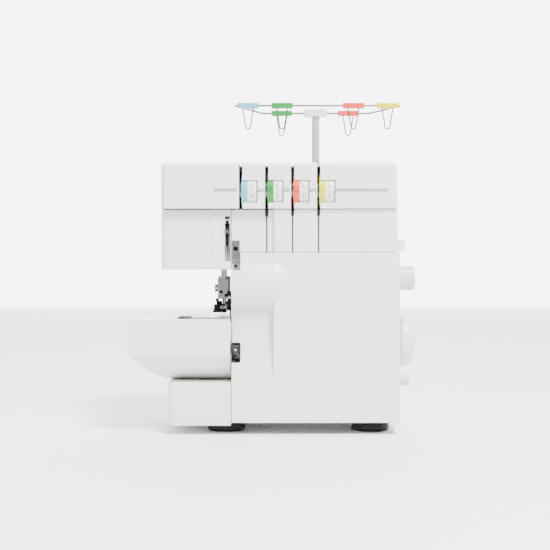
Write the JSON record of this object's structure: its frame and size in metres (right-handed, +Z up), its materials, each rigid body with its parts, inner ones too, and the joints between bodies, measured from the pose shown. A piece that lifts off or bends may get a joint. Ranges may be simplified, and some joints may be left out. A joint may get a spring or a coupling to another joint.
{
  "type": "serger overlock machine",
  "caption": "Domestic serger with a free arm, sliding cloth table, looper door, colour-coded tension dials and a telescopic thread guide tree.",
  "frame": {"origin": "on the table top, under the middle of the overall box", "axes": "+X to the operator's right, +Y away from the operator, +Z up"},
  "size_m": [0.324, 0.284, 0.393],
  "materials": {
    "base_plate": "moulded plastic",
    "rubber_feet": "soft rubber",
    "left_base_cover": "satin moulded plastic",
    "cloth_table": "satin moulded plastic",
    "table_latch": "satin moulded plastic",
    "free_arm_shell": "satin moulded plastic",
    "needle_plate": "brushed",
    "rear_casing": "satin moulded plastic",
    "head_cover": "satin moulded plastic",
    "arm_front_panel": "satin moulded plastic",
    "top_cover": "satin moulded plastic",
    "looper_door": "satin moulded plastic",
    "door_hinge_sleeve": "moulded plastic",
    "carrying_handle": "satin moulded plastic",
    "main_frame": "die cast",
    "main_shaft": "turned and ground",
    "handwheel": "satin moulded plastic",
    "shaft_pulley": "moulded nylon",
    "motor": "painted steel can",
    "motor_pulley": "turned",
    "drive_belt": "rubber belt",
    "needle_bar": "polished",
    "needle_clamp": "polished",
    "needles": "polished",
    "presser_bar": "polished",
    "presser_spring": "spring wire",
    "presser_foot_holder": "polished",
    "presser_foot": "black finish",
    "pressure_adjuster": "moulded plastic",
    "presser_lifter": "coated lever",
    "take_up_lever": "polished",
    "thread_guide_plate": "polished",
    "lower_looper": "polished",
    "upper_looper": "polished",
    "lower_knife": "ground",
    "upper_knife": "blackened steel",
    "main_feed_dog": "ground",
    "differential_feed_dog": "ground",
    "tension_axle": "turned",
    "tension_dial_blue": "moulded plastic",
    "tension_dial_green": "moulded plastic",
    "tension_dial_red": "moulded plastic",
    "tension_dial_yellow": "moulded plastic",
    "stitch_length_dial": "moulded plastic",
    "differential_feed_dial": "moulded plastic",
    "switch_and_power_inlet": "moulded plastic",
    "power_rocker": "moulded plastic",
    "spool_stand": "satin moulded plastic",
    "spool_pins": "moulded plastic",
    "spool_holders": "moulded plastic",
    "pole_lower_tube": "moulded plastic",
    "pole_upper_tube": "moulded plastic",
    "guide_hub": "moulded plastic",
    "guide_wire_frame": "drawn wire",
    "thread_clip_blue": "moulded plastic",
    "thread_clip_green": "moulded plastic",
    "thread_clip_red": "moulded plastic",
    "thread_clip_yellow": "moulded plastic",
    "thread_hooks": "drawn wire"
  },
  "bodies": {
    "housing": {"base_plate": "base_plate", "rubber_feet": "rubber_feet", "left_base_cover": "left_base_cover", "free_arm_shell": "free_arm_shell", "needle_plate": "needle_plate", "rear_casing": "rear_casing", "head_cover": "head_cover", "arm_front_panel": "arm_front_panel", "top_cover": "top_cover", "main_frame": "main_frame", "motor": "motor", "drive_belt": "drive_belt", "presser_spring": "presser_spring", "lower_knife": "lower_knife", "thread_guide_plate": "thread_guide_plate", "tension_axle": "tension_axle", "switch_and_power_inlet": "switch_and_power_inlet", "spool_stand": "spool_stand", "spool_pins": "spool_pins", "spool_holders": "spool_holders", "pole_lower_tube": "pole_lower_tube"},
    "cloth_table": {"cloth_table": "cloth_table"},
    "table_latch": {"table_latch": "table_latch"},
    "door_carrier": {"door_hinge_sleeve": "door_hinge_sleeve"},
    "looper_door": {"looper_door": "looper_door"},
    "carrying_handle": {"carrying_handle": "carrying_handle"},
    "pole": {"pole_upper_tube": "pole_upper_tube"},
    "thread_guide": {"guide_hub": "guide_hub", "guide_wire_frame": "guide_wire_frame", "thread_clip_blue": "thread_clip_blue", "thread_clip_green": "thread_clip_green", "thread_clip_red": "thread_clip_red", "thread_clip_yellow": "thread_clip_yellow", "thread_hooks": "thread_hooks"},
    "dial_blue": {"tension_dial_blue": "tension_dial_blue"},
    "dial_green": {"tension_dial_green": "tension_dial_green"},
    "dial_red": {"tension_dial_red": "tension_dial_red"},
    "dial_yellow": {"tension_dial_yellow": "tension_dial_yellow"},
    "drive_shaft": {"handwheel": "handwheel", "main_shaft": "main_shaft", "shaft_pulley": "shaft_pulley"},
    "motor_rotor": {"motor_pulley": "motor_pulley"},
    "needle_bar": {"needle_bar": "needle_bar", "needle_clamp": "needle_clamp", "needles": "needles"},
    "take_up": {"take_up_lever": "take_up_lever"},
    "lower_looper": {"lower_looper": "lower_looper"},
    "upper_looper": {"upper_looper": "upper_looper"},
    "upper_knife": {"upper_knife": "upper_knife"},
    "main_feed": {"main_feed_dog": "main_feed_dog"},
    "differential_feed": {"differential_feed_dog": "differential_feed_dog"},
    "presser_lifter": {"presser_lifter": "presser_lifter"},
    "presser_bar": {"presser_bar": "presser_bar", "presser_foot_holder": "presser_foot_holder"},
    "presser_foot": {"presser_foot": "presser_foot"},
    "stitch_dial": {"stitch_length_dial": "stitch_length_dial"},
    "feed_dial": {"differential_feed_dial": "differential_feed_dial"},
    "power_rocker": {"power_rocker": "power_rocker"},
    "pressure_adjuster": {"pressure_adjuster": "pressure_adjuster"}
  },
  "joints": [
    {"name": "table_slide", "type": "slide", "parent": "housing", "child": "cloth_table", "axis": [-1, 0, 0], "range_m": [0, 0.11]},
    {"name": "latch_slide", "type": "slide", "parent": "cloth_table", "child": "table_latch", "axis": [-1, 0, 0], "range_m": [0, 0.0035], "stiffness_N_per_m": 300},
    {"name": "door_slide", "type": "slide", "parent": "housing", "child": "door_carrier", "axis": [1, 0, 0], "range_m": [0, 0.01]},
    {"name": "door_tilt", "type": "hinge", "parent": "door_carrier", "child": "looper_door", "pos_m": [0, -0.126, 0.019], "axis": [1, 0, 0], "range_deg": [0, 80]},
    {"name": "handle_lift", "type": "hinge", "parent": "housing", "child": "carrying_handle", "pos_m": [0.045, -0.0005, 0.2954], "axis": [-1, 0, 0], "range_deg": [0, 95]},
    {"name": "pole_height", "type": "slide", "parent": "housing", "child": "pole", "axis": [0, 0, -1], "range_m": [0, 0.045]},
    {"name": "guide_turn", "type": "hinge", "parent": "pole", "child": "thread_guide", "pos_m": [0.054, 0.115, 0.385], "axis": [0, 0, 1], "range_deg": [-90, 90]},
    {"name": "tension_blue_turn", "type": "hinge", "parent": "housing", "child": "dial_blue", "pos_m": [-0.0282, -0.117, 0.268], "axis": [1, 0, 0], "range_deg": [-150, 120]},
    {"name": "tension_green_turn", "type": "hinge", "parent": "housing", "child": "dial_green", "pos_m": [0.0004, -0.117, 0.268], "axis": [1, 0, 0], "range_deg": [-150, 120]},
    {"name": "tension_red_turn", "type": "hinge", "parent": "housing", "child": "dial_red", "pos_m": [0.029, -0.117, 0.268], "axis": [1, 0, 0], "range_deg": [-150, 120]},
    {"name": "tension_yellow_turn", "type": "hinge", "parent": "housing", "child": "dial_yellow", "pos_m": [0.0576, -0.117, 0.268], "axis": [1, 0, 0], "range_deg": [-150, 120]},
    {"name": "handwheel_turn", "type": "hinge", "parent": "housing", "child": "drive_shaft", "pos_m": [0.1, -0.044, 0.098], "axis": [1, 0, 0], "continuous": true},
    {"name": "motor_turn", "type": "hinge", "parent": "housing", "child": "motor_rotor", "pos_m": [0.117, -0.002, 0.052], "axis": [1, 0, 0], "continuous": true},
    {"name": "needle_drive", "type": "slide", "parent": "housing", "child": "needle_bar", "axis": [0, 0, 1], "range_m": [0, 0.027]},
    {"name": "take_up_drive", "type": "hinge", "parent": "housing", "child": "take_up", "pos_m": [-0.0522, -0.096, 0.224], "axis": [-1, 0, 0], "range_deg": [0, 14]},
    {"name": "lower_looper_drive", "type": "hinge", "parent": "housing", "child": "lower_looper", "pos_m": [-0.028, -0.0718, 0.052], "axis": [0, 1, 0], "range_deg": [0, 12]},
    {"name": "upper_looper_drive", "type": "hinge", "parent": "housing", "child": "upper_looper", "pos_m": [-0.004, -0.077, 0.06], "axis": [0, -1, 0], "range_deg": [0, 10]},
    {"name": "knife_drive", "type": "slide", "parent": "housing", "child": "upper_knife", "axis": [0, 0, 1], "range_m": [0, 0.009]},
    {"name": "main_feed_drive", "type": "slide", "parent": "housing", "child": "main_feed", "axis": [0, 1, 0], "range_m": [0, 0.0018]},
    {"name": "differential_feed_drive", "type": "slide", "parent": "housing", "child": "differential_feed", "axis": [0, 1, 0], "range_m": [0, 0.0018]},
    {"name": "lifter_turn", "type": "hinge", "parent": "housing", "child": "presser_lifter", "pos_m": [-0.0705, -0.082, 0.218], "axis": [-1, 0, 0], "range_deg": [0, 11.25]},
    {"name": "presser_lower", "type": "slide", "parent": "housing", "child": "presser_bar", "axis": [0, 0, -1], "range_m": [0, 0.0045], "deforming": ["presser_spring"]},
    {"name": "foot_tilt", "type": "hinge", "parent": "presser_bar", "child": "presser_foot", "pos_m": [-0.059, -0.058, 0.1415], "axis": [-1, 0, 0], "range_deg": [0, 6]},
    {"name": "stitch_length_turn", "type": "hinge", "parent": "housing", "child": "stitch_dial", "pos_m": [0.14, -0.089, 0.172], "axis": [1, 0, 0], "range_deg": [-135, 135]},
    {"name": "differential_turn", "type": "hinge", "parent": "housing", "child": "feed_dial", "pos_m": [0.14, -0.089, 0.057], "axis": [1, 0, 0], "range_deg": [-135, 135]},
    {"name": "power_switch_rock", "type": "hinge", "parent": "housing", "child": "power_rocker", "pos_m": [0.1335, 0.004, 0.078], "axis": [0, 1, 0], "range_deg": [-4, 4]},
    {"name": "pressure_turn", "type": "hinge", "parent": "housing", "child": "pressure_adjuster", "pos_m": [-0.059, -0.058, 0.29], "axis": [0, 0, 1], "range_deg": [-180, 180]}
  ],
  "couplings": [
    {"joint": "motor_turn", "follows": "handwheel_turn", "ratio": 3},
    {"joint": "take_up_drive", "follows": "needle_drive", "rad_per_m": 9},
    {"joint": "lower_looper_drive", "follows": "needle_drive", "rad_per_m": 7.7},
    {"joint": "upper_looper_drive", "follows": "needle_drive", "rad_per_m": 6.4},
    {"joint": "knife_drive", "follows": "needle_drive", "ratio": 0.33},
    {"joint": "main_feed_drive", "follows": "needle_drive", "ratio": 0.066},
    {"joint": "differential_feed_drive", "follows": "needle_drive", "ratio": 0.05},
    {"joint": "presser_lower", "follows": "lifter_turn", "m_per_rad": 0.0229}
  ]
}
